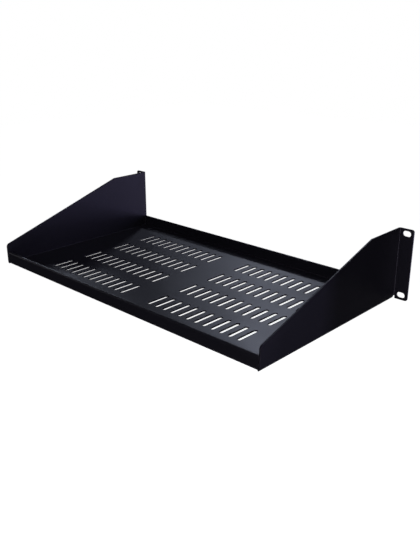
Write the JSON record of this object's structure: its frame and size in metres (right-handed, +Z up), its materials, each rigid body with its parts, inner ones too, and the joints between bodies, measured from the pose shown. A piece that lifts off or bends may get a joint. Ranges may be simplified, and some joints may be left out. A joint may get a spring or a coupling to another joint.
{
  "type": "rack shelf",
  "caption": "Cantilever rack shelf folded from one steel sheet: slotted vent pan, upturned front and rear lips, tapered side gussets and slotted ears that bolt to a 19-inch rack.",
  "frame": {"origin": "centre of the four ear slots, on the front faces of the ears, which lie against the rack", "axes": "+X across the shelf to the right seen from the front, +Y to the back, +Z up"},
  "size_m": [0.4826, 0.254, 0.0882],
  "materials": {
    "powder_coat": "satin black powder coat, slightly blue"
  },
  "bodies": {
    "root": {"shelf": "powder_coat"}
  },
  "joints": []
}
